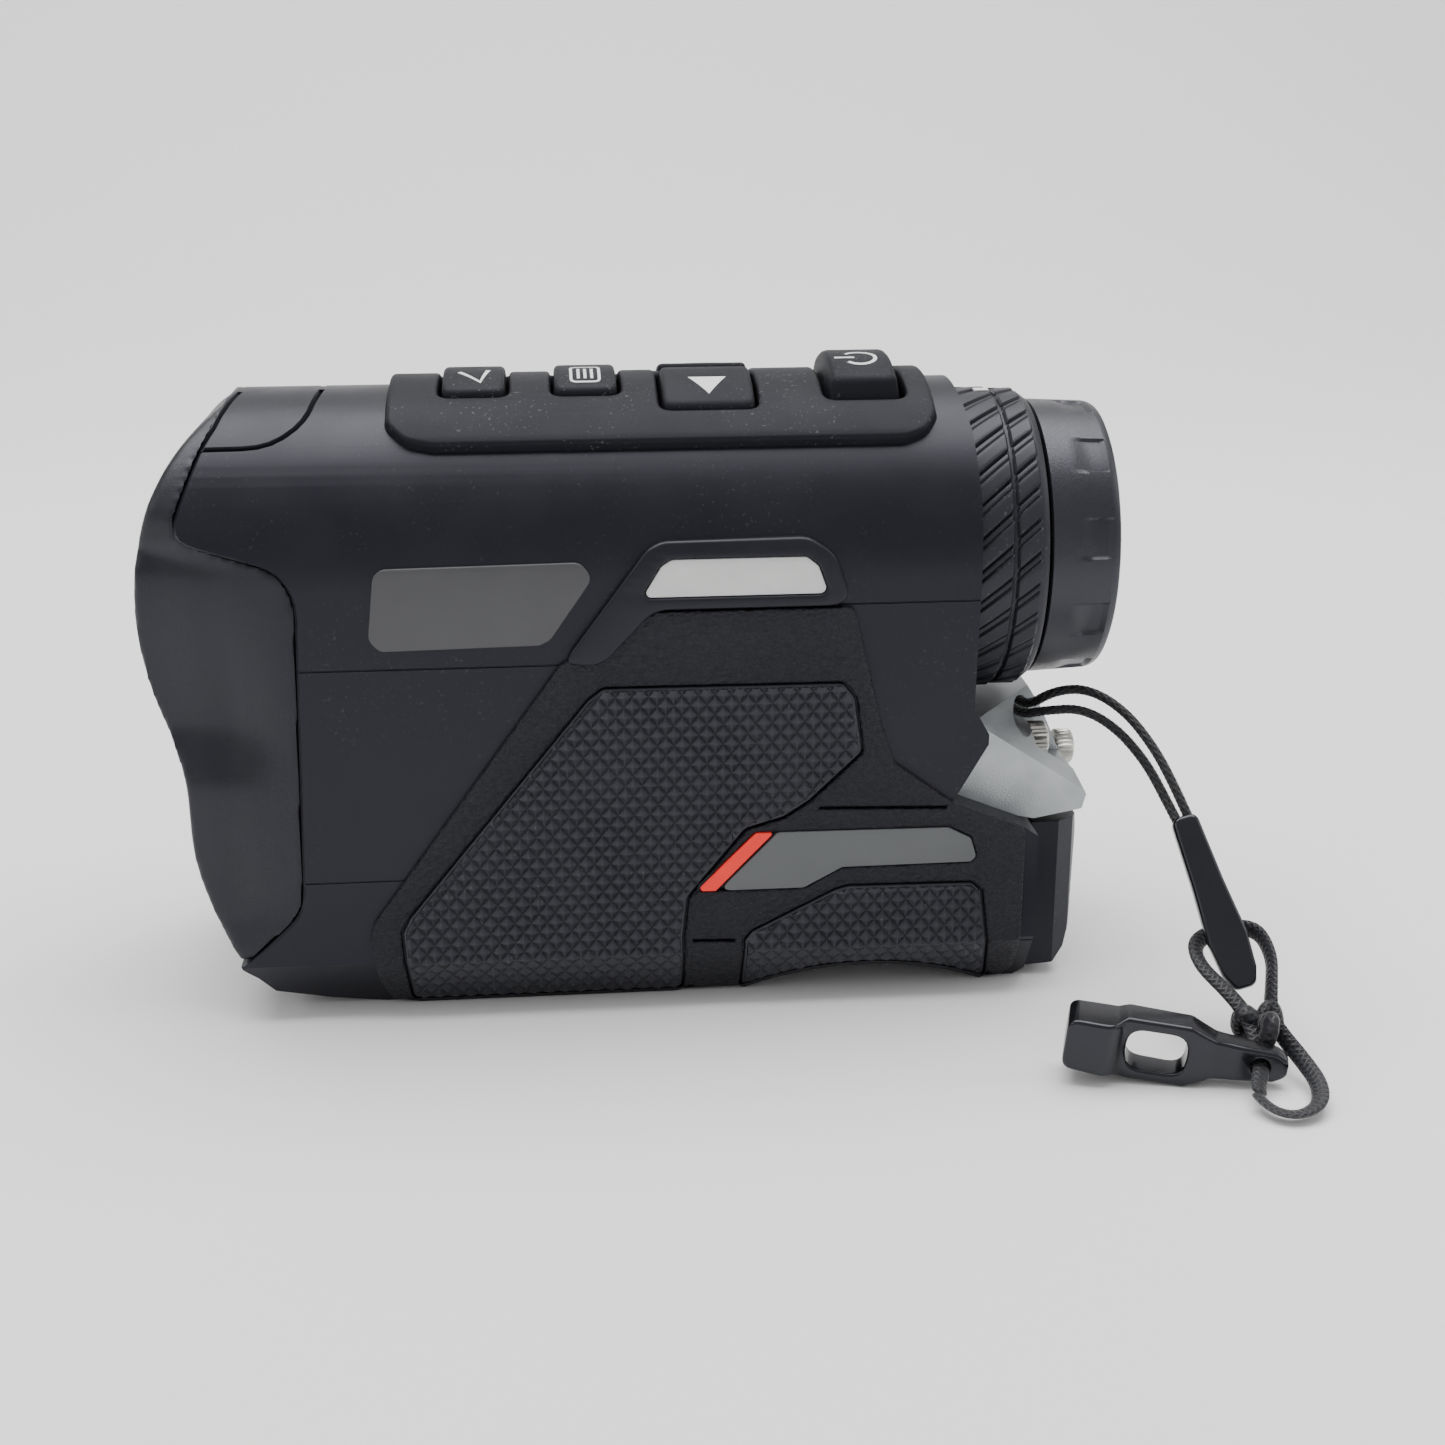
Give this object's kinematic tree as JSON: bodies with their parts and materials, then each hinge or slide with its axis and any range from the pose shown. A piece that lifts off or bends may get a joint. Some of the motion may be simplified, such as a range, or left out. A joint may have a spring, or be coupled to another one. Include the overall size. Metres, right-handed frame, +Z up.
{
  "type": "laser rangefinder",
  "caption": "Handheld laser rangefinder with two stacked front lenses, a ribbed eyepiece, a top keypad, textured side grips and a short wrist lanyard",
  "frame": {"origin": "middle of the body's footprint, on the surface it stands on", "axes": "+X to the eyepiece end, -X to the lens end, +Z up, -Y the side with the lanyard"},
  "size_m": [0.1588, 0.0924, 0.0925],
  "materials": {
    "housing_plastic": "soft-touch black",
    "bezel_plastic": "fine-textured black",
    "grip_plastic": "leather-grained dark grey",
    "diamond_rubber": "diamond-knurled dark grey",
    "key_rubber": "satin charcoal",
    "ring_rubber": "ribbed black",
    "eyecup_rubber": "smooth black",
    "trim_plastic": "semi-gloss black",
    "label_grey": "satin grey",
    "label_silver": "satin silver",
    "label_red": "satin red",
    "lens_glass": "coated",
    "silver_metal": "painted cast silver",
    "screw_steel": "nickel",
    "inner_metal": "black anodised",
    "board": "solder mask",
    "battery_wrap": "printed wrap",
    "brass": "turned",
    "cord_fabric": "braided black",
    "strap_fabric": "woven black",
    "fitting_plastic": "moulded black"
  },
  "bodies": {
    "housing": {"accent_left": "label_red", "accent_right": "label_red", "badge_left": "label_grey", "badge_right": "label_grey", "base_cover": "housing_plastic", "battery_box": "housing_plastic", "battery_left": "battery_wrap", "battery_right": "battery_wrap", "bezel": "bezel_plastic", "connector": "fitting_plastic", "cord_lower": "cord_fabric", "cord_upper": "cord_fabric", "eyepiece_tube": "inner_metal", "front_cover": "bezel_plastic", "grip_left": "grip_plastic", "grip_right": "grip_plastic", "hinge_pin": "screw_steel", "housing_lower": "housing_plastic", "housing_upper": "housing_plastic", "key_board": "board", "key_pad": "key_rubber", "knot": "strap_fabric", "lanyard_bracket": "silver_metal", "large_pad_left": "diamond_rubber", "large_pad_right": "diamond_rubber", "laser_emitter": "inner_metal", "main_board": "board", "name_plate_left": "label_grey", "name_plate_right": "label_grey", "objective_barrel": "inner_metal", "objective_lens": "lens_glass", "objective_ring": "inner_metal", "plate_left": "label_silver", "plate_right": "label_silver", "prism_block": "lens_glass", "receiving_lens": "lens_glass", "receiving_ring": "inner_metal", "screw_far": "screw_steel", "screw_near": "screw_steel", "small_pad_left": "diamond_rubber", "small_pad_right": "diamond_rubber", "tail_loop": "strap_fabric", "toggle": "fitting_plastic", "trim_left": "trim_plastic", "trim_right": "trim_plastic", "tripod_insert": "brass", "webbing_loop": "strap_fabric"},
    "select": {"key_select": "key_rubber"},
    "menu": {"key_menu": "key_rubber"},
    "up": {"key_up": "key_rubber"},
    "down": {"key_down": "key_rubber"},
    "fire": {"key_fire": "key_rubber"},
    "ring": {"dioptre_ring": "ring_rubber"},
    "cell": {"ocular_cell": "inner_metal", "ocular_lens": "lens_glass"},
    "guide": {"eyecup_guide": "inner_metal"},
    "cup": {"eyecup": "eyecup_rubber"},
    "door": {"battery_door": "housing_plastic"},
    "latch": {"door_latch": "trim_plastic"}
  },
  "joints": [
    {"name": "select_press", "type": "slide", "parent": "housing", "child": "select", "axis": [0, 0, -1], "range_m": [0, 0.0008], "stiffness_N_per_m": 400},
    {"name": "menu_press", "type": "slide", "parent": "housing", "child": "menu", "axis": [0, 0, -1], "range_m": [0, 0.0008], "stiffness_N_per_m": 400},
    {"name": "up_press", "type": "slide", "parent": "housing", "child": "up", "axis": [0, 0, -1], "range_m": [0, 0.0008], "stiffness_N_per_m": 400},
    {"name": "down_press", "type": "slide", "parent": "housing", "child": "down", "axis": [0, 0, -1], "range_m": [0, 0.0008], "stiffness_N_per_m": 400},
    {"name": "fire_press", "type": "slide", "parent": "housing", "child": "fire", "axis": [0, 0, -1], "range_m": [0, 0.0008], "stiffness_N_per_m": 400},
    {"name": "dioptre_turn", "type": "hinge", "parent": "housing", "child": "ring", "pos_m": [0.052, 0, 0.0643], "axis": [1, 0, 0], "range_deg": [-150, 150]},
    {"name": "ocular_focus", "type": "slide", "parent": "housing", "child": "cell", "axis": [1, 0, 0], "range_m": [-0.0015, 0.0015]},
    {"name": "eyecup_lift", "type": "slide", "parent": "housing", "child": "guide", "axis": [1, 0, 0], "range_m": [0, 0.005]},
    {"name": "eyecup_twist", "type": "hinge", "parent": "guide", "child": "cup", "pos_m": [0.064, 0, 0.0643], "axis": [1, 0, 0], "range_deg": [0, 120]},
    {"name": "door_swing", "type": "hinge", "parent": "housing", "child": "door", "pos_m": [0.0599, 0.017, 0.013], "axis": [0, 0, 1], "range_deg": [0, 100]},
    {"name": "latch_slide", "type": "slide", "parent": "door", "child": "latch", "axis": [0, 1, 0], "range_m": [0, 0.002]}
  ],
  "couplings": [
    {"joint": "ocular_focus", "follows": "dioptre_turn", "m_per_rad": 0.00057296},
    {"joint": "eyecup_lift", "follows": "eyecup_twist", "m_per_rad": 0.0023873}
  ]
}
